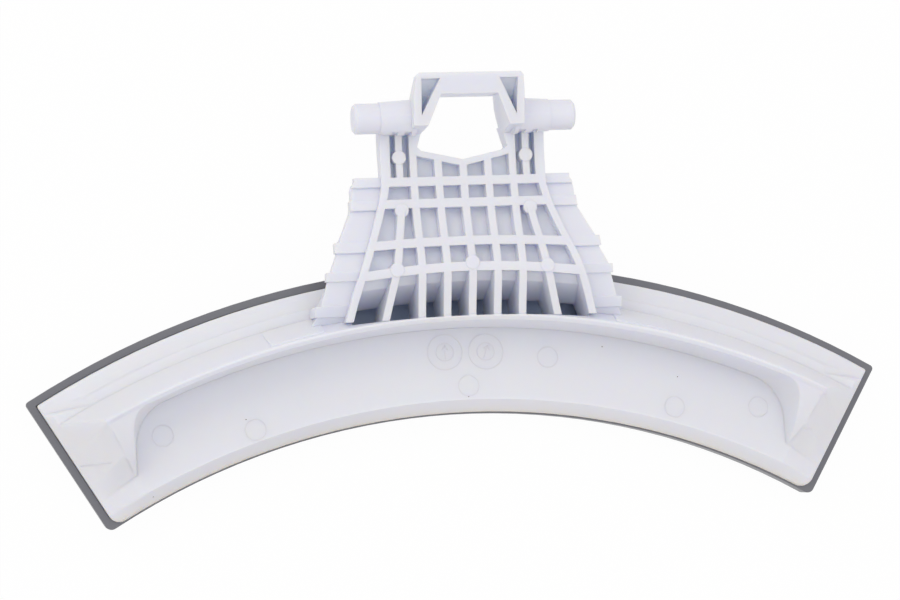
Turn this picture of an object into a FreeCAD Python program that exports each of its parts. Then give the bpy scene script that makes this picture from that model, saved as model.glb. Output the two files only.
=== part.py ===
"""Door handle of a tumble dryer, seen from behind: a white rear moulding in a grey front panel.

Both pieces follow one ring. Sizes are in millimetres and are laid out about the ring's centre, with
y along the middle of the handle, x across it and z = 0 at the panel's rim. Places along the lever are
counted from the ring's outer edge. The last step moves the origin to the middle of the panel's flat
front face, with +Z towards the lever.
"""
import math
import os

import FreeCAD
import Part

Vector = FreeCAD.Vector
AXIS = Vector(0, 0, 1)
ORIGIN = Vector(0, 0, 0)

# Ring that both pieces follow
ring_outer_radius = 196.0
ring_width = 34.7
half_angle = 31.0

# Front panel, a shallow tray
panel_depth = 5.0
panel_plate = 2.0
outer_rim = 1.75
inner_rim = 1.6
front_bevel = 0.75
upper_corner_radius = 0.85
lower_corner_radius = 1.6

# Fit of the rear moulding in the panel
seat_clearance = 0.12
lip_overlap = 1.35
lip_clearance = 0.1

# Rear moulding: walls and the surfaces round the recess, counted in from the ring's outer edge
wall = 2.0
end_wall = 2.6
edge_height = 2.0
bevel_line = 1.45
bevel_height = 2.6
ledge_step_inset = 5.7
ledge_step = 0.2
ledge_height = 3.5
slope_foot_inset = 8.1
rim_inset = 13.5
rim_height = 14.0
rim_rounding = 0.7
ridge_top = 0.5
inner_edge_height = 0.35
inner_bevel = 2.85
floor_front_height = 3.8
floor_back_height = 1.9
recess_draft = 1.3
shoulder_reach = 4.6
shoulder_bulge = 1.6
body_lower_corner_radius = 2.8
body_upper_corner_radius = 0.5

# Ends of the recess and of the moulding
recess_end_margin = 16.2
corner_radius_floor = 11.0
corner_radius_rim = 4.5
end_edge_height = 1.6
end_reach = 10.5
end_lift = 0.15
end_facet_inner = 6.0
end_fan = (2.0, 1.6, 1.4, 1.2, 1.0, 0.0)

# Lever: heights of the rib tops at places along it
rib_crest = ((-13.1, 13.6), (-8.0, 15.0), (-1.5, 16.6), (4.0, 15.3),
             (10.0, 13.1), (17.0, 11.8), (25.0, 11.3), (31.0, 12.0))
rib_height = 3.0
web_thickness = 1.9
web_foot_inset = 8.4
web_knee_inset = 4.5
web_knee_height = 12.0
web_overlap = 4.0
slot_floor_height = 7.9
neck_back = ((20.0, 7.4), (25.0, 7.0), (31.0, 7.0), (35.0, 10.0))

# Lever: ribs and rows of pockets
rib_thickness = 1.75
rib_pitch = 5.85
outer_rib = ((18.4, 31.0), (18.4, 17.5), (19.4, 13.5), (21.6, 7.0),
             (24.1, 0.5), (26.6, -6.5), (28.6, -14.0))
branch_rib = ((15.0, 13.5), (15.1, 11.6), (16.3, 5.0), (17.4, -1.8), (20.3, -14.0))
cross_rib = 2.1
first_row_y = 19.7
second_row_y = 14.6
third_row_y = 5.6
fourth_row_y = -0.4
last_row_y = -12.5
third_row_sag = 0.8
fourth_row_sag = 1.4
last_row_sag = 0.8
sag_width = 22.5
ejector_pad_radius = 1.6
ejector_pad_rise = 0.12
ejector_pads = ((14.9, 24.3, 11.3), (15.05, 12.0, 12.5), (17.45, -1.8, 16.6), (0.0, -0.6, 16.6))

# Lever: wings beside the ribs. Each band is (upper place, height, lower place, height, overhang)
wing_bands = ((19.95, 9.9, 17.75, 10.1, 0.0), (14.7, 10.6, 12.4, 11.1, 0.1), (5.0, 13.35, 2.6, 14.1, 0.6),
              (-1.8, 15.0, -3.8, 14.4, 0.6), (-9.2, 12.4, -11.6, 10.9, 0.9))
wing_step = 0.75
wing_flush = 0.12
wing_draft = 0.15
wing_end = (-14.6, 8.2)
wing_outline = ((18.0, 20.2), (23.0, 20.0), (24.8, 19.4), (25.8, 18.4), (26.2, 17.0), (26.2, 14.8),
                (26.8, 11.8), (28.6, 7.8), (30.0, 5.0), (30.7, 2.2), (32.0, -0.9), (33.2, -4.4),
                (34.2, -7.8), (35.0, -11.0), (36.3, -13.2), (37.4, -14.8))

# Pivot pins
pin_radius = 3.5
pin_y = 33.0
pin_z = 14.1
pin_end_x = 25.8
pin_end_bevel = 0.6
pin_root_x = 19.8
pin_root_radius = 4.2
pin_shoulder = 0.22
pin_embed = 1.0
neck_half_width = 19.3

# Catch loop
loop_half_width = 12.45
loop_base_half_width = 12.8
loop_top_y = 42.0
loop_face = ((29.6, 12.0), (30.4, 20.3), (42.0, 23.4))
loop_back = ((42.0, 21.4), (37.3, 16.3), (35.0, 12.5), (33.0, 10.4), (28.0, 7.0))
loop_corner = 0.7
bar_y = 37.3
hole_top_half_width = 6.6
hole_side = (9.5, 30.3)
hole_corner = (10.6, 26.6)
hole_shoulder = (9.7, 25.7)
hole_vee_y = 23.6
vee_rib = 1.55
vee_slope = 0.235
window = ((11.15, 40.7), (6.9, 40.7), (11.0, 32.7))
window_floor = 0.9
slot_outer = (15.7, 17.0)
slot_inner = (12.5, 14.1)
slot_top_y = 29.6

# Shallow pads on the slope of the ridge beside the lever
ledge_pad_rise = 0.3
ledge_pad_end_angle = 14.6
ledge_pad_top_inset = 8.4

# Values worked out from the sizes above
ring_inner_radius = ring_outer_radius - ring_width
mid_radius = (ring_outer_radius + ring_inner_radius) / 2
seat_height = panel_plate - panel_depth
body_outer_radius = ring_outer_radius - outer_rim - seat_clearance
body_inner_radius = ring_inner_radius + inner_rim + seat_clearance
lip_radius = body_inner_radius - lip_overlap
body_end_inset = outer_rim + seat_clearance
bevel_foot_radius = lip_radius + inner_bevel
shoulder_foot_radius = bevel_foot_radius + shoulder_reach
rim_radius = ring_outer_radius - rim_inset
slope_foot_radius = ring_outer_radius - slope_foot_inset
ledge_step_radius = ring_outer_radius - ledge_step_inset
recess_foot_radius = rim_radius - recess_draft
recess_half_width = rim_radius * math.sin(math.radians(half_angle)) - recess_end_margin
web_foot_radius = ring_outer_radius - web_foot_inset
web_knee_radius = ring_outer_radius - web_knee_inset
far = ring_outer_radius + 100


def polar(radius, degrees, height=0.0):
    """Point of the ring, with angles taken from the middle of the handle."""
    turn = math.radians(degrees)
    return Vector(radius * math.sin(turn), radius * math.cos(turn), height)


def polygon(points):
    """Flat face through points that already lie in one plane."""
    return Part.Face(Part.makePolygon(list(points) + [points[0]]))


def smooth_curve(points):
    """Smooth edge through points."""
    curve = Part.BSplineCurve()
    curve.interpolate(points)
    return curve.toShape()


def end_point(radius, side, inset, height=0.0):
    """Point at a radius on a plane parallel to the ring's radial end and set in from it."""
    along = polar(1.0, side * half_angle)
    inward = Vector(-side * along.y, side * along.x, 0)
    return along * math.sqrt(radius ** 2 - inset ** 2) + inward * inset + Vector(0, 0, height)


def band(outer, inner, end_inset, bottom, top):
    """Slice of the ring, with ends parallel to the radial ends of the whole handle."""
    corners = [end_point(outer, -1, end_inset), end_point(outer, 1, end_inset),
               end_point(inner, 1, end_inset), end_point(inner, -1, end_inset)]
    edges = [Part.Arc(corners[0], Vector(0, outer, 0), corners[1]).toShape(),
             Part.makeLine(corners[1], corners[2]),
             Part.Arc(corners[2], Vector(0, inner, 0), corners[3]).toShape(),
             Part.makeLine(corners[3], corners[0])]
    face = Part.Face(Part.Wire(edges))
    face.translate(Vector(0, 0, bottom))
    return face.extrude(Vector(0, 0, top - bottom))


def upright_edges(solid, radius, tolerance=1.5):
    """Upright corner edges of a band that stand near a given radius."""
    found = []
    for edge in solid.Edges:
        first, last = edge.Vertexes[0].Point, edge.Vertexes[-1].Point
        upright = abs(first.x - last.x) < 1e-6 and abs(first.y - last.y) < 1e-6
        if upright and abs(math.hypot(first.x, first.y) - radius) < tolerance:
            found.append(edge)
    return found


def turned(face, first_angle=-40.0, last_angle=40.0):
    """Turn a face that is drawn as (radius, 0, height) about the ring's axis."""
    start = face.copy()
    start.rotate(ORIGIN, AXIS, 90.0 - first_angle)
    return start.revolve(ORIGIN, AXIS, first_angle - last_angle)


def section(points):
    """Radial section, drawn as (radius, 0, height)."""
    return polygon([Vector(radius, 0, height) for radius, height in points])


def side_prism(edges_or_points):
    """Solid whose side view is given in y and z, wider than the whole handle."""
    if isinstance(edges_or_points[0], tuple):
        face = polygon([Vector(-far, y, z) for y, z in edges_or_points])
    else:
        face = Part.Face(Part.Wire(edges_or_points))
    return face.extrude(Vector(2 * far, 0, 0))


def plan_prism(points):
    """Solid whose plan is given in x and y, taller than the whole handle."""
    face = polygon([Vector(x, y, -far) for x, y in points])
    return face.extrude(Vector(0, 0, 2 * far))


def from_ring(shape):
    """Move a shape from the ring's coordinates to those of the lever."""
    moved = shape.copy()
    moved.translate(Vector(0, -ring_outer_radius, 0))
    return moved


def mirrored(points):
    """A plan that is given for the right half, closed by its mirror image."""
    return list(points) + [(-x, y) for x, y in reversed(points)]


def both_sides(shape):
    """A shape with its mirror image across the middle of the handle."""
    return [shape, shape.mirror(ORIGIN, Vector(1, 0, 0))]


def between(places, position):
    """Value at a position, read off a list of (position, value) that runs either way."""
    places = sorted(places)
    for (start, low), (end, high) in zip(places, places[1:]):
        if start <= position <= end:
            return low + (high - low) * (position - start) / (end - start)
    return places[0][1] if position < places[0][0] else places[-1][1]


def across(rib, y):
    """Distance of a rib's centre line from the middle, at a place along the lever."""
    return between([(place, x) for x, place in rib], y)


def front_panel():
    """Grey tray with a flat front face."""
    tray = band(ring_outer_radius, ring_inner_radius, 0, -panel_depth, 0)
    tray = tray.makeFillet(lower_corner_radius, upright_edges(tray, ring_inner_radius))
    tray = tray.makeFillet(upper_corner_radius, upright_edges(tray, ring_outer_radius))
    front = [edge for edge in tray.Edges if edge.BoundBox.ZMax < -panel_depth + 1e-6]
    tray = tray.makeChamfer(front_bevel, front)
    hollow = band(ring_outer_radius - outer_rim, ring_inner_radius + inner_rim, outer_rim,
                  seat_height, far)
    hollow = hollow.makeFillet(lower_corner_radius, upright_edges(hollow, ring_inner_radius + inner_rim))
    return tray.cut(hollow)


def floor_height(radius):
    """Height of the recess floor, which falls gently towards its back wall."""
    share = (radius - bevel_foot_radius) / (recess_foot_radius - bevel_foot_radius)
    return floor_front_height + (floor_back_height - floor_front_height) * share


def roof_points():
    """Corners of the moulding's radial section, from the top of the ridge out to the edge."""
    return [(rim_radius, rim_height - rim_rounding), (rim_radius + rim_rounding, rim_height),
            (rim_radius + rim_rounding + ridge_top, rim_height),
            (slope_foot_radius, ledge_height + ledge_step), (ledge_step_radius, ledge_height),
            (ledge_step_radius, ledge_height - ledge_step),
            (body_outer_radius - bevel_line, bevel_height), (body_outer_radius, edge_height)]


def shoulder_arc():
    """Ends and middle of the convex shoulder between the floor's level and the ridge."""
    foot = Vector(shoulder_foot_radius, 0, floor_height(shoulder_foot_radius))
    crest = Vector(rim_radius, 0, rim_height - rim_rounding)
    chord = crest - foot
    bulge = Vector(-chord.z, 0, chord.x).normalize() * shoulder_bulge
    return foot, (foot + crest) * 0.5 + bulge, crest


def roof_section(bottom):
    """Radial section of the moulding beyond the recess, from the lip to the outer edge."""
    foot, middle, crest = shoulder_arc()
    rest = roof_points() + [(body_outer_radius, bottom), (lip_radius, bottom),
                            (lip_radius, inner_edge_height), (bevel_foot_radius, floor_front_height),
                            (foot.x, foot.z)]
    lines = [Part.makeLine(Vector(a[0], 0, a[1]), Vector(b[0], 0, b[1])) for a, b in zip(rest, rest[1:])]
    return Part.Face(Part.Wire([Part.Arc(foot, middle, crest).toShape()] + lines))


def end_cutter(side, drop):
    """Everything above the end of the moulding, which falls from the full section to a low edge."""
    foot, middle, crest = shoulder_arc()
    full = [(lip_radius - 1, inner_edge_height), (lip_radius, inner_edge_height),
            (bevel_foot_radius, floor_front_height), (foot.x, foot.z), (middle.x, middle.z)]
    full += roof_points() + [(body_outer_radius + 1, edge_height)]
    low = [(lip_radius - 1, inner_edge_height), (lip_radius, inner_edge_height)]
    low += [(bevel_foot_radius, end_edge_height), (foot.x - 1, end_edge_height),
            (middle.x - end_facet_inner / 2, end_edge_height), (crest.x - end_facet_inner, end_edge_height)]
    low += [(crest.x - end_facet_inner / 2, end_edge_height)]
    low += [(body_outer_radius - bevel_line * share, end_edge_height) for share in end_fan]
    low += [(body_outer_radius + 1, end_edge_height)]
    angle = half_angle - math.degrees((end_reach + body_end_inset) / rim_radius)
    inner = [polar(radius, side * angle, height + end_lift - drop) for radius, height in full]
    outer = [end_point(radius, side, body_end_inset - 0.02, height - drop) for radius, height in low]
    inner += [polar(full[-1][0], side * angle, far), polar(full[0][0], side * angle, far)]
    outer += [end_point(low[-1][0], side, body_end_inset - 0.02, far),
              end_point(low[0][0], side, body_end_inset - 0.02, far)]
    return Part.makeLoft([Part.makePolygon(inner + inner[:1]), Part.makePolygon(outer + outer[:1])],
                         True, True)


def recess(grow=0.0):
    """Space of the finger recess, or that space with the wall round it."""
    lean = recess_draft / (rim_height - floor_back_height)
    above = rim_height + 2
    face = section([(bevel_foot_radius + floor_front_height - above, above),
                    (bevel_foot_radius, floor_front_height), (recess_foot_radius, floor_back_height),
                    (rim_radius + lean * (above - rim_height), above)])
    if grow:
        face = face.makeOffset2D(grow, 2, False, False, False)
    low = recess_half_width + grow - lean * 2 * rim_height
    high = recess_half_width + grow + lean * 2 * rim_height
    ends = polygon([Vector(-low, 0, -rim_height), Vector(low, 0, -rim_height),
                    Vector(high, 0, 3 * rim_height), Vector(-high, 0, 3 * rim_height)])
    space = turned(face).common(ends.extrude(Vector(0, far, 0)))
    for side in (-1, 1):
        corner = [edge for edge in space.Edges
                  if edge.BoundBox.ZLength > rim_height - floor_back_height
                  and edge.CenterOfMass.x * side > 0
                  and edge.BoundBox.YMin > mid_radius * math.cos(math.radians(half_angle))]
        start, end = [corner[0].valueAt(place).z for place in corner[0].ParameterRange]
        radii = [corner_radius_floor + grow, corner_radius_rim + grow]
        if start > end:
            radii.reverse()
        space = space.makeFillet(radii[0], radii[1], corner)
    return space


def shell():
    """The moulding without its lever: skirt, ridge and ledge, hollow except for the recess's walls."""
    skirt = band(body_outer_radius, body_inner_radius, body_end_inset, seat_height, lip_clearance)
    skirt = skirt.makeFillet(lower_corner_radius, upright_edges(skirt, body_inner_radius))
    skirt = skirt.makeFillet(body_upper_corner_radius, upright_edges(skirt, body_outer_radius))
    lip = band(body_outer_radius, lip_radius, body_end_inset, lip_clearance, far)
    lip = lip.makeFillet(body_lower_corner_radius, upright_edges(lip, lip_radius))
    lip = lip.makeFillet(body_upper_corner_radius, upright_edges(lip, body_outer_radius))
    outside = turned(roof_section(seat_height)).common(skirt.fuse(lip))
    inside_section = roof_section(seat_height - 3 * wall).makeOffset2D(-wall, 2, False, False, False)
    inside = turned(inside_section).common(
        band(body_outer_radius - wall, body_inner_radius + wall, body_end_inset + wall, -far, far))
    for side in (-1, 1):
        outside = outside.cut(end_cutter(side, 0.0))
        inside = inside.cut(end_cutter(side, end_wall))
    return outside.cut(inside.cut(recess(wall)))


def lever_points(crest, drop, first_y):
    """Points of a crest from a place along the lever on, lowered by a depth."""
    return [Vector(-far, y, height - drop) for y, height in crest if y >= first_y]


def closed_side(points, level):
    """Solid between a smooth line through points and a level."""
    first, last = points[0], points[-1]
    corners = [last, Vector(-far, last.y, level), Vector(-far, first.y, level), first]
    lines = [Part.makeLine(a, b) for a, b in zip(corners, corners[1:])]
    return side_prism([smooth_curve(points)] + lines)


def web_back():
    """Space behind the lever, between its web and the ledge."""
    drop = rib_height + web_thickness
    curve = [point for point in lever_points(rib_crest, drop, -web_knee_inset) if point.y < neck_back[0][0]]
    curve += [Vector(-far, y, z) for y, z in neck_back]
    first = curve[0]
    thick = web_thickness * 1.1
    reach = first.y + web_overlap
    ramp = turned(section([(web_foot_radius + thick, ledge_height),
                           (web_knee_radius + thick, web_knee_height),
                           (ring_outer_radius + first.y, first.z),
                           (ring_outer_radius + reach, between(rib_crest, reach) - drop),
                           (ring_outer_radius + reach, -far), (web_foot_radius + thick, -far)]))
    return closed_side(curve, -far).fuse(from_ring(ramp))


def web_front():
    """Space in front of the lever's web, where the pockets are, open to the hollow below the ledge."""
    beyond = closed_side(lever_points(rib_crest, rib_height, -web_knee_inset - 4), far)
    knee_end = between(rib_crest, fourth_row_y) - rib_height / 2
    ramp = turned(section([(rim_radius, far), (rim_radius, 0), (web_foot_radius, 0),
                           (web_foot_radius, ledge_height), (web_knee_radius, web_knee_height),
                           (ring_outer_radius + fourth_row_y, knee_end),
                           (ring_outer_radius + fourth_row_y, far)]))
    return beyond.fuse(from_ring(ramp))


def bowed(y, sag):
    """Edge of a cross rib, which bows down towards the sides: its place at a distance across."""
    return lambda x: y - sag * (x / sag_width) ** 2


def rib_side(rib, edge, side):
    """Corner where a side of a rib meets the edge of a cross rib."""
    y = edge(across(rib, edge(0)) + side)
    return (across(rib, y) + side, y)


def pocket(left, right, low, high):
    """Plan of one pocket between two ribs and the edges of two cross ribs."""
    half = rib_thickness / 2
    points = []
    for rib, side, edges in ((left, half, (high, low)), (right, -half, (low, high))):
        first, last = [rib_side(rib, edge, side) for edge in edges]
        middle = (first[1] + last[1]) / 2
        points += [first, (across(rib, middle) + side, middle), last]
    return plan_prism(points)


def straight_rib(x):
    """Centre line of a rib that runs straight up the lever."""
    return ((x, far), (x, -far))


def pockets():
    """All pockets of the rib lattice, as upright prisms."""
    inner = [straight_rib(0.0), straight_rib(rib_pitch), straight_rib(2 * rib_pitch)]
    fan = inner + [branch_rib, outer_rib]
    rows = (
        (bowed(first_row_y, 0), lambda x: hole_vee_y - vee_rib + vee_slope * x, inner),
        (bowed(second_row_y, 0), bowed(first_row_y - cross_rib, 0), inner + [outer_rib]),
        (bowed(third_row_y, third_row_sag), bowed(second_row_y - cross_rib, 0), fan),
        (bowed(fourth_row_y, fourth_row_sag), bowed(third_row_y - cross_rib, third_row_sag), fan),
        (bowed(last_row_y, last_row_sag), bowed(fourth_row_y - cross_rib, fourth_row_sag), fan),
    )
    found = []
    for low, high, ribs in rows:
        for left, right in zip(ribs, ribs[1:]):
            found += both_sides(pocket(left, right, low, high))
    return found


def slots():
    """Narrow blind slots beside the ejector ribs of the neck."""
    floor = Part.makeBox(2 * far, 2 * far, far, Vector(-far, -far, slot_floor_height))
    found = []
    for near, away in (slot_inner, slot_outer):
        plan = plan_prism([(near, first_row_y), (away, first_row_y), (away, slot_top_y), (near, slot_top_y)])
        found += both_sides(plan.common(floor))
    return found


def lever_plan():
    """Plan of the ribbed middle of the lever and its neck."""
    half = rib_thickness / 2
    side = [(max(x + half, neck_half_width) if y > second_row_y else x + half, y) for x, y in outer_rib]
    return plan_prism(mirrored(side))


def wings():
    """Wings beside the ribs: raised bands in line with the cross ribs, with sloping panels between."""
    crest = []
    for upper, upper_height, lower, lower_height, overhang in wing_bands:
        if crest:
            crest.append((upper + wing_draft, upper_height - wing_flush))
        crest += [(upper, upper_height), (lower, lower_height)]
        crest.append((lower - wing_draft, lower_height - wing_step))
    crest.append(wing_end)
    whole = side_prism(crest + [(wing_end[0], ledge_height - 1), (crest[0][0], ledge_height - 1)])
    pieces = [whole.common(plan_prism(mirrored(wing_outline)))]
    for upper, upper_height, lower, lower_height, overhang in wing_bands:
        side = between([(y, x) for x, y in wing_outline], (upper + lower) / 2) + overhang
        pieces += [whole.common(plan_prism(mirrored([(side, upper), (side + overhang / 4, lower)])))]
    return pieces


def catch_loop():
    """Square loop at the end of the lever, with a blind window in each arm."""
    solid = side_prism(list(loop_face) + list(loop_back))
    outline = [(loop_half_width - loop_corner, loop_top_y), (loop_half_width, loop_top_y - loop_corner),
               (loop_base_half_width, bar_y), (loop_base_half_width, loop_back[-1][0] - 1)]
    solid = solid.common(plan_prism(mirrored(outline)))
    floor = [(y, z + window_floor) for y, z in loop_back]
    above = side_prism(floor + [(floor[-1][0], far), (floor[0][0], far)])
    for opening in both_sides(plan_prism(list(window))):
        solid = solid.cut(opening.common(above))
    return solid


def loop_hole():
    """Opening of the catch loop, right through the lever."""
    right = [(hole_top_half_width, bar_y), hole_side, hole_corner, hole_shoulder]
    left = [(-x, y) for x, y in reversed(right)]
    return plan_prism(right + [(0, hole_vee_y)] + left)


def pivot_pins():
    """Round pin on each side of the lever, with a root that tapers out to a small shoulder."""
    start = Vector(loop_half_width - pin_embed, pin_y, pin_z)
    pin = Part.makeCylinder(pin_radius, pin_end_x - start.x, start, Vector(1, 0, 0))
    rim = [edge for edge in pin.Edges if edge.BoundBox.XMin > pin_end_x - 1e-6]
    root = Part.makeCone(pin_root_radius, pin_radius + pin_shoulder, pin_root_x - start.x,
                         start, Vector(1, 0, 0))
    return both_sides(pin.makeChamfer(pin_end_bevel, rim).fuse(root))


def ledge_pads():
    """Shallow pads on the slope of the ridge, next to the lever."""
    foot, crest = roof_points()[3], roof_points()[2]
    lean = (crest[0] - foot[0]) / (crest[1] - foot[1])
    top = foot[1] + (foot[0] - (ring_outer_radius - ledge_pad_top_inset)) / -lean
    bottom = crest[1] - 1.0
    low, high = foot[0] + lean * (top - foot[1]), foot[0] + lean * (bottom - foot[1])
    face = section([(low - 1, top), (low + ledge_pad_rise, top),
                    (high + ledge_pad_rise, bottom), (high - 1, bottom)])
    edge_x, edge_y = wing_outline[-1]
    start = math.degrees(math.atan2(edge_x, ring_outer_radius + edge_y)) - 1
    return both_sides(from_ring(turned(face, start, ledge_pad_end_angle)))


def ejector_discs(ribbed):
    """Round pads where the mould's pins pushed on the ribs."""
    found = []
    for x, y, height in ejector_pads:
        disc = Part.makeCylinder(ejector_pad_radius, height + ejector_pad_rise, Vector(x, y, 0))
        disc = disc.cut(web_back())
        found += both_sides(disc) if x else [disc]
    return found


def handle_body():
    """The white rear moulding, one piece with its lever, pivot pins and catch loop."""
    behind = web_back()
    ribbed = closed_side(lever_points(rib_crest, 0, -far), ledge_height - 1).common(lever_plan()).cut(behind)
    solid = from_ring(shell()).multiFuse(
        [ribbed, catch_loop()] + [wing.cut(behind) for wing in wings()] + pivot_pins() + ledge_pads())
    front = web_front()
    spaces = [space.common(front) for space in pockets()] + slots()
    solid = solid.cut(spaces + [loop_hole(), from_ring(recess())])
    solid = solid.multiFuse(ejector_discs(ribbed)).removeSplitter()
    solid.translate(Vector(0, ring_outer_radius, 0))
    return solid


def main():
    """Write one STEP file for each piece."""
    os.makedirs("parts", exist_ok=True)
    for name, shape in (("front_panel", front_panel()), ("handle_body", handle_body())):
        shape.translate(Vector(0, -mid_radius, panel_depth))
        shape.exportStep("parts/" + name + ".step")
        print(name, shape.isValid(), len(shape.Solids), round(shape.Volume), len(shape.Faces))


main()
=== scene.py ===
"""Looks of the dryer door handle: camera, light, floor and moulded-plastic materials."""
import math

import bmesh
import bpy
from mathutils import Matrix, Vector
from mathutils.bvhtree import BVHTree


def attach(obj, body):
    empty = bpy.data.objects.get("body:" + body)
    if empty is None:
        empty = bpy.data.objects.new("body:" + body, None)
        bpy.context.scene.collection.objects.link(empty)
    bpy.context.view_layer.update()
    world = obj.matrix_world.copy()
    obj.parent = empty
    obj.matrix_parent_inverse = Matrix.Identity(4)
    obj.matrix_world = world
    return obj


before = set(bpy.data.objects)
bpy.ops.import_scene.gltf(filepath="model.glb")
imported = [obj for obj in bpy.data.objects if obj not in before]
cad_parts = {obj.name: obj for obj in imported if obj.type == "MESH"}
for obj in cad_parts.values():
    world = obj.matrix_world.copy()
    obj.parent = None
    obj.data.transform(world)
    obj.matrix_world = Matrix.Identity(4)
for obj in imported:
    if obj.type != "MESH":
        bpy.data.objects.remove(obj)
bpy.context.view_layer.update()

bpy.context.scene.view_settings.view_transform = "Standard"

# Camera fitted to the photograph, in metres
IMAGE_WIDTH, IMAGE_HEIGHT = 900, 600
FOCAL_PIXELS = 2457.81
PRINCIPAL_POINT = (428.856, 240.674)
CAMERA_PLACE = (-0.11821953, -0.02208609, 0.56585070)
CAMERA_RIGHT = (0.98039834, -0.04744071, 0.19122887)
CAMERA_DOWN = (-0.03125779, -0.99573765, -0.08677257)
CAMERA_FORWARD = (0.19453034, 0.07909429, -0.97770243)

# Marks of the mould, in millimetres: x from the middle of the handle and y from the centre of its ring.
# A date mark also has the lean of its arrow, in radians, and the shares are parts of its radius or arrow.
MILLIMETRE = 0.001
RING_CENTRE_Y = -178.65
EJECTOR_RADIUS = 2.4
EJECTOR_MARKS = ((-70.5, 159.4), (-49.5, 159.8), (70.5, 159.7), (49.7, 160.7), (19.8, 173.6), (0.5, 167.7))
DATE_RADIUS = 4.1
DATE_MARKS = ((-4.6, 175.7, 0.0), (5.1, 175.5, 0.35))
WITNESS_LINES = (((-89.2, 153.5), (-82.4, 153.9)), ((79.6, 154.0), (82.0, 153.9)), ((82.0, 161.7), (83.9, 161.8)))
SPECKS = ((-73.12, 145.81), (33.16, 175.5), (-51.54, 162.23), (51.02, 167.69), (0.25, 165.2))
DATE_INNER_SHARE = 0.5
ARROW_SHARE = 0.38
BARB_SHARE = 0.8
BARB_ANGLE = 0.6
LINE_WIDTH = 0.22
LINE_HEIGHT = 0.07
LINE_SHOULDER = 0.6
SPECK_RADIUS = 0.16
SPECK_FLATTENING = (1.0, 0.7, 0.25, 1.0)

# Noise of the plastics: its scale and detail for the colour's drift, the wear and the fine grain
DRIFT = (18.0, 3.0)
WEAR = (240.0, 4.0)
GRAIN = (2500.0, 2.0)
ROUGHNESS_SPREAD = 0.10

# Distances in metres from the middle between which the edges grow softer towards the ends
SOFT_FROM_TO = (0.070, 0.078)

# Height in metres below which an upward face is the inside of the grey tray
TRAY_INSIDE = 0.003

# Floor in metres, and how far the camera sees it as plain white rather than shaded
FLOOR_HALF = 3.0
FLOOR_LEVEL = -0.0005
FLOOR_WHITENESS = 0.97


def make_camera():
    """Camera at the photograph's place, with its small shift."""
    data = bpy.data.cameras.new("camera")
    data.sensor_fit = "HORIZONTAL"
    data.sensor_width = 36.0
    data.lens = data.sensor_width * FOCAL_PIXELS / IMAGE_WIDTH
    data.shift_x = (IMAGE_WIDTH / 2 - PRINCIPAL_POINT[0]) / IMAGE_WIDTH
    data.shift_y = (PRINCIPAL_POINT[1] - IMAGE_HEIGHT / 2) / IMAGE_WIDTH
    data.clip_start, data.clip_end = 0.01, 20.0
    camera = bpy.data.objects.new("camera", data)
    axes = [Vector(CAMERA_RIGHT), -Vector(CAMERA_DOWN), -Vector(CAMERA_FORWARD)]
    camera.matrix_world = Matrix.Translation(CAMERA_PLACE) @ Matrix(axes).transposed().to_4x4()
    bpy.context.collection.objects.link(camera)
    bpy.context.scene.camera = camera


def node(tree, kind, **values):
    """Shader node with its plain values set."""
    made = tree.nodes.new(kind)
    for name, value in values.items():
        setattr(made, name, value)
    return made


def math_node(tree, operation, *values):
    """Math node fed by sockets or numbers."""
    made = node(tree, "ShaderNodeMath", operation=operation)
    for socket, value in zip(made.inputs, values):
        if isinstance(value, float):
            socket.default_value = value
        else:
            tree.links.new(value, socket)
    return made.outputs[0]


def coordinate(tree, vector, axis):
    """One coordinate of a vector."""
    parts = node(tree, "ShaderNodeSeparateXYZ")
    tree.links.new(vector, parts.inputs[0])
    return parts.outputs[axis]


def noise(tree, place, scale, detail):
    """Noise value at a place."""
    made = node(tree, "ShaderNodeTexNoise")
    made.inputs["Scale"].default_value = scale
    made.inputs["Detail"].default_value = detail
    tree.links.new(place, made.inputs["Vector"])
    return made.outputs["Fac"]


def mix_colour(tree, factor, first, second):
    """Mix of two colours by a factor's socket. Each colour is a socket or a colour."""
    made = node(tree, "ShaderNodeMix", data_type="RGBA")
    tree.links.new(factor, made.inputs[0])
    for index, value in ((6, first), (7, second)):
        if isinstance(value, tuple):
            made.inputs[index].default_value = (*value, 1.0)
        else:
            tree.links.new(value, made.inputs[index])
    return made.outputs[2]


def hole_shade_mask(tree, place):
    """One on the upward faces below the tray's rim, which lie within the handle, and none elsewhere: there the
    tray gets painted bluish shade.
    """
    low = math_node(tree, "LESS_THAN", coordinate(tree, place, "Z"), TRAY_INSIDE)
    facing = coordinate(tree, node(tree, "ShaderNodeNewGeometry").outputs["Normal"], "Z")
    return math_node(tree, "MULTIPLY", low, math_node(tree, "GREATER_THAN", facing, 0.5))


def radius_towards_ends(tree, place, edge, soft_edge):
    """Edge rounding that grows from the recess to the two ends of the handle, whose facets blend softly."""
    share = node(tree, "ShaderNodeMapRange", interpolation_type="SMOOTHSTEP")
    tree.links.new(math_node(tree, "ABSOLUTE", coordinate(tree, place, "X")), share.inputs["Value"])
    for socket, value in zip(("From Min", "From Max", "To Min", "To Max"), (*SOFT_FROM_TO, edge, soft_edge)):
        share.inputs[socket].default_value = value
    return share.outputs["Result"]


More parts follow.
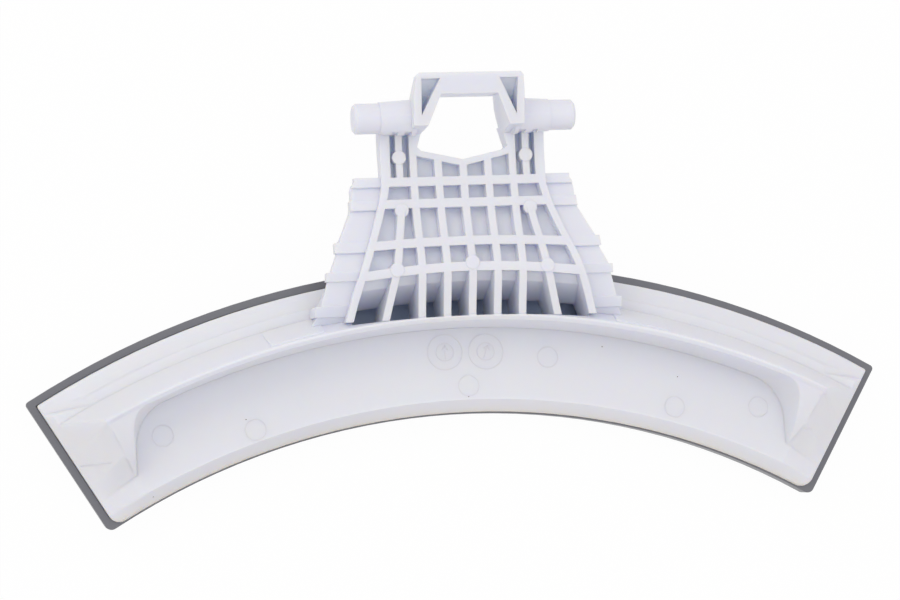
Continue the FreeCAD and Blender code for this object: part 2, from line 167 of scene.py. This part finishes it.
def plastic(name, base, tint, grain_depth, edge, roughness=0.42, glow=0.0, painted_hole_shade=None, soft_edge=None):
    """Moulded plastic: colour that drifts a little, fine surface grain, rounded edges and some glow."""
    material = bpy.data.materials.new(name)
    material.use_nodes = True
    tree = material.node_tree
    shader = tree.nodes["Principled BSDF"]
    place = node(tree, "ShaderNodeTexCoord").outputs["Object"]
    colour = mix_colour(tree, noise(tree, place, *DRIFT), base, tint)
    # Painted shade: the hidden floor of the tray is coloured pale blue, lighter than the grey, so the deep holes
    # show bluish shade instead of black
    if painted_hole_shade:
        colour = mix_colour(tree, hole_shade_mask(tree, place), colour, painted_hole_shade)
    tree.links.new(colour, shader.inputs["Base Color"])
    wear = noise(tree, place, *WEAR)
    rough = math_node(tree, "MULTIPLY_ADD", wear, ROUGHNESS_SPREAD, roughness - ROUGHNESS_SPREAD / 2)
    tree.links.new(rough, shader.inputs["Roughness"])
    bump = node(tree, "ShaderNodeBump")
    bump.inputs["Strength"].default_value = 0.25
    bump.inputs["Distance"].default_value = grain_depth
    tree.links.new(noise(tree, place, *GRAIN), bump.inputs["Height"])
    rounding = node(tree, "ShaderNodeBevel", samples=6)
    if soft_edge:
        tree.links.new(radius_towards_ends(tree, place, edge, soft_edge), rounding.inputs["Radius"])
    else:
        rounding.inputs["Radius"].default_value = edge
    tree.links.new(rounding.outputs["Normal"], bump.inputs["Normal"])
    tree.links.new(bump.outputs["Normal"], shader.inputs["Normal"])
    shader.inputs["Coat Weight"].default_value = 0.1
    shader.inputs["Coat Roughness"].default_value = 0.25
    shader.inputs["Subsurface Weight"].default_value = glow
    shader.inputs["Subsurface Radius"].default_value = (0.45, 0.6, 1.0)
    shader.inputs["Subsurface Scale"].default_value = 0.003
    return material


def dress(name, material):
    """Give a CAD node its material."""
    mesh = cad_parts[name].data
    for slot in range(len(mesh.materials)):
        mesh.materials[slot] = material


def surface(tree, x, y):
    """Point of the white moulding and its normal, at a place given in the ring's millimetres."""
    start = Vector((x * MILLIMETRE, (y + RING_CENTRE_Y) * MILLIMETRE, 1.0))
    return tree.ray_cast(start, Vector((0.0, 0.0, -1.0)))[:2]


def raised_line(mesh, tree, places, closed=False):
    """Fine ridge left by the mould, which follows the surface through places."""
    half, height = LINE_WIDTH * MILLIMETRE / 2, LINE_HEIGHT * MILLIMETRE
    across_shoulder, up_shoulder = half * LINE_SHOULDER, height * LINE_SHOULDER
    profile = ((-half, -height), (-across_shoulder, up_shoulder), (0.0, height), (across_shoulder, up_shoulder),
               (half, -height))
    found = [surface(tree, x, y) for x, y in places]
    count = len(found)
    rings = []
    for index, (place, normal) in enumerate(found):
        before = found[index - 1][0] if closed or index else place
        after = found[(index + 1) % count][0] if closed or index < count - 1 else place
        side = normal.cross(after - before).normalized()
        rings.append([mesh.verts.new(place + side * across + normal * up) for across, up in profile])
    pairs = list(zip(rings, rings[1:])) + ([(rings[-1], rings[0])] if closed else [])
    for first, second in pairs:
        for index in range(len(profile)):
            follow = (index + 1) % len(profile)
            mesh.faces.new((first[index], first[follow], second[follow], second[index]))
    if not closed:
        mesh.faces.new(rings[0])
        mesh.faces.new(list(reversed(rings[-1])))


def circle(x, y, radius, steps=40):
    """Places round a circle."""
    turns = [2 * math.pi * step / steps for step in range(steps)]
    return [(x + radius * math.cos(turn), y + radius * math.sin(turn)) for turn in turns]


def straight(start, end, steps=6):
    """Places along a straight line."""
    return [(start[0] + (end[0] - start[0]) * step / steps, start[1] + (end[1] - start[1]) * step / steps)
            for step in range(steps + 1)]


def add_piece(name, mesh, material):
    """Turn a built mesh into an object that rides with the handle."""
    bmesh.ops.recalc_face_normals(mesh, faces=mesh.faces)
    data = bpy.data.meshes.new(name)
    mesh.to_mesh(data)
    mesh.free()
    data.materials.append(material)
    for face in data.polygons:
        face.use_smooth = True
    made = bpy.data.objects.new(name, data)
    bpy.context.collection.objects.link(made)
    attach(made, "root")


def mould_marks(tree, material):
    """Ejector rings, two date dials with an arrow each, and short witness lines in the recess."""
    mesh = bmesh.new()
    for x, y in EJECTOR_MARKS:
        raised_line(mesh, tree, circle(x, y, EJECTOR_RADIUS), closed=True)
    for x, y, lean in DATE_MARKS:
        raised_line(mesh, tree, circle(x, y, DATE_RADIUS, 56), closed=True)
        raised_line(mesh, tree, circle(x, y, DATE_RADIUS * DATE_INNER_SHARE), closed=True)
        along = Vector((math.sin(lean), math.cos(lean)))
        middle, reach = Vector((x, y)), DATE_RADIUS * ARROW_SHARE
        tip = middle + along * reach
        raised_line(mesh, tree, straight(middle - along * reach, tip))
        for turn in (-BARB_ANGLE, BARB_ANGLE):
            barb = Vector((math.sin(lean + turn), math.cos(lean + turn))) * reach * BARB_SHARE
            raised_line(mesh, tree, straight(tip, tip - barb, 3))
    for start, end in WITNESS_LINES:
        raised_line(mesh, tree, straight(start, end))
    add_piece("mould_marks", mesh, material)


def specks(tree, material):
    """A few dark specks that lie on the white surface."""
    mesh = bmesh.new()
    for x, y in SPECKS:
        place, normal = surface(tree, x, y)
        turn = normal.to_track_quat("Z", "Y").to_matrix().to_4x4()
        flat = Matrix.Diagonal(SPECK_FLATTENING)
        bmesh.ops.create_icosphere(mesh, subdivisions=2, radius=SPECK_RADIUS * MILLIMETRE,
                                   matrix=Matrix.Translation(place) @ turn @ flat)
    add_piece("specks", mesh, material)


def area_light(name, place, size, power, colour):
    """Soft square lamp that faces the middle of the handle."""
    data = bpy.data.lights.new(name, "AREA")
    data.shape = "SQUARE"
    data.size = size
    data.energy = power
    data.color = colour
    lamp = bpy.data.objects.new(name, data)
    lamp.location = place
    lamp.rotation_mode = "QUATERNION"
    lamp.rotation_quaternion = (-Vector(place)).to_track_quat("-Z", "Y")
    bpy.context.collection.objects.link(lamp)


def seen_background(tree):
    """One where the camera or a clear or glossy surface sees the background, and none where it gives light."""
    path = node(tree, "ShaderNodeLightPath")
    clear = math_node(tree, "MAXIMUM", path.outputs["Is Glossy Ray"], path.outputs["Is Transmission Ray"])
    return math_node(tree, "MAXIMUM", path.outputs["Is Camera Ray"], clear)


def make_world(strength, colour):
    """Pale studio surroundings, plain white where the camera sees them."""
    world = bpy.data.worlds.new("studio")
    bpy.context.scene.world = world
    world.use_nodes = True
    tree = world.node_tree
    background = tree.nodes["Background"]
    seen = seen_background(tree)
    tree.links.new(mix_colour(tree, seen, colour, (1.0, 1.0, 1.0)), background.inputs["Color"])
    level = node(tree, "ShaderNodeMix", data_type="FLOAT")
    level.inputs[2].default_value = strength
    level.inputs[3].default_value = 1.0
    tree.links.new(seen, level.inputs[0])
    tree.links.new(level.outputs[0], background.inputs["Strength"])


def make_floor():
    """Plain pale floor that looks white to the camera and keeps a faint shadow."""
    mesh = bpy.data.meshes.new("floor")
    half = FLOOR_HALF
    corners = [(x, y, FLOOR_LEVEL) for x, y in ((-half, -half), (half, -half), (half, half), (-half, half))]
    mesh.from_pydata(corners, [], [(0, 1, 2, 3)])
    floor = bpy.data.objects.new("floor", mesh)
    bpy.context.collection.objects.link(floor)
    material = bpy.data.materials.new("floor_paper")
    material.use_nodes = True
    tree = material.node_tree
    output = tree.nodes["Material Output"]
    shader = tree.nodes["Principled BSDF"]
    shader.inputs["Base Color"].default_value = (0.85, 0.85, 0.86, 1.0)
    shader.inputs["Roughness"].default_value = 0.9
    glow = node(tree, "ShaderNodeEmission")
    glow.inputs["Strength"].default_value = 1.0
    mix = node(tree, "ShaderNodeMixShader")
    share = math_node(tree, "MULTIPLY", seen_background(tree), FLOOR_WHITENESS)
    tree.links.new(share, mix.inputs[0])
    tree.links.new(shader.outputs[0], mix.inputs[1])
    tree.links.new(glow.outputs[0], mix.inputs[2])
    tree.links.new(mix.outputs[0], output.inputs["Surface"])
    mesh.materials.append(material)


make_camera()
make_world(0.83, (1.04, 0.985, 0.95))
make_floor()
area_light("key", (-0.62, 0.50, 0.70), 0.5, 1.6, (1.0, 0.98, 0.86))
area_light("top", (0.15, 0.10, 1.05), 0.7, 1.0, (0.88, 0.98, 1.10))

white = plastic("white_plastic", (0.74, 0.765, 0.85), (0.77, 0.79, 0.87), grain_depth=0.00004, edge=0.00022,
                glow=0.6, soft_edge=0.0009)
# The fine marks have no glow, which would wash such thin ridges out
lines = plastic("white_lines", (0.72, 0.73, 0.80), (0.76, 0.77, 0.83), grain_depth=0.00001, edge=0.00002)
# The grey's pale blue second colour is painted shade on the tray's hidden floor, for the deep holes
grey = plastic("grey_plastic", (0.140, 0.145, 0.166), (0.160, 0.164, 0.186), grain_depth=0.00003, edge=0.00015,
               painted_hole_shade=(0.60, 0.72, 0.96))
dirt = plastic("dirt", (0.10, 0.09, 0.10), (0.16, 0.14, 0.14), grain_depth=0.00003, edge=0.00002, roughness=0.7)
dress("handle_body", white)
dress("front_panel", grey)
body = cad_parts["handle_body"].data
finder = BVHTree.FromPolygons([v.co for v in body.vertices], [tuple(p.vertices) for p in body.polygons])
mould_marks(finder, lines)
specks(finder, dirt)
